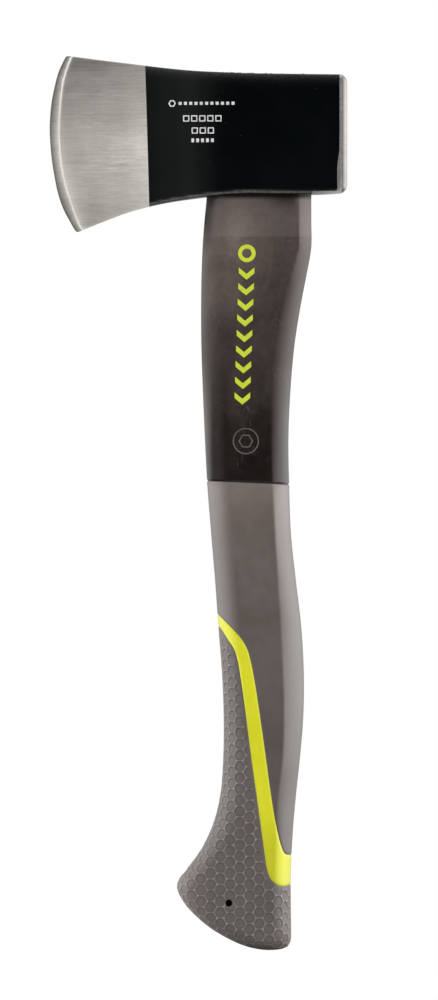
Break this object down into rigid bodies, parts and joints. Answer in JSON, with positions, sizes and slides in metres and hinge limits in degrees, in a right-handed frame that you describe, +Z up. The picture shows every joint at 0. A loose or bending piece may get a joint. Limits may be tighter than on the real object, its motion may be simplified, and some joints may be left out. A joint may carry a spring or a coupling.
{
  "type": "hatchet",
  "caption": "Hatchet with a forged steel head, black with a bare ground bit, bonded to a dark moulded handle with a grey honeycomb grip and a lime band.",
  "frame": {"origin": "middle of the eye on the head's underside, where the head rests on a rack", "axes": "+Z up the handle towards the top of the head, +X towards the poll (the bit is at -X), +Y through the thickness"},
  "size_m": [0.1184, 0.0262, 0.3558],
  "materials": {
    "ground_steel": "ground and brushed along the blade, satin",
    "black_enamel": "glossy black paint, worn at the edges",
    "fibreglass": "sawn end of a glass-fibre rod",
    "dark_nylon": "satin moulded plastic with fine dust",
    "epoxy": "glossy cured resin",
    "grey_rubber": "soft satin overmould",
    "lime_rubber": "smooth lime overmould, slightly glossy",
    "grip_rubber": "matt grip with a raised honeycomb",
    "lime_print": "printed ink, lime",
    "white_print": "printed ink, white"
  },
  "bodies": {
    "root": {"axe_head": "ground_steel", "core_rod": "fibreglass", "handle_body": "dark_nylon", "eye_epoxy": "epoxy", "smooth_sleeve": "grey_rubber", "accent_band": "lime_rubber", "textured_grip": "grip_rubber"}
  },
  "joints": []
}
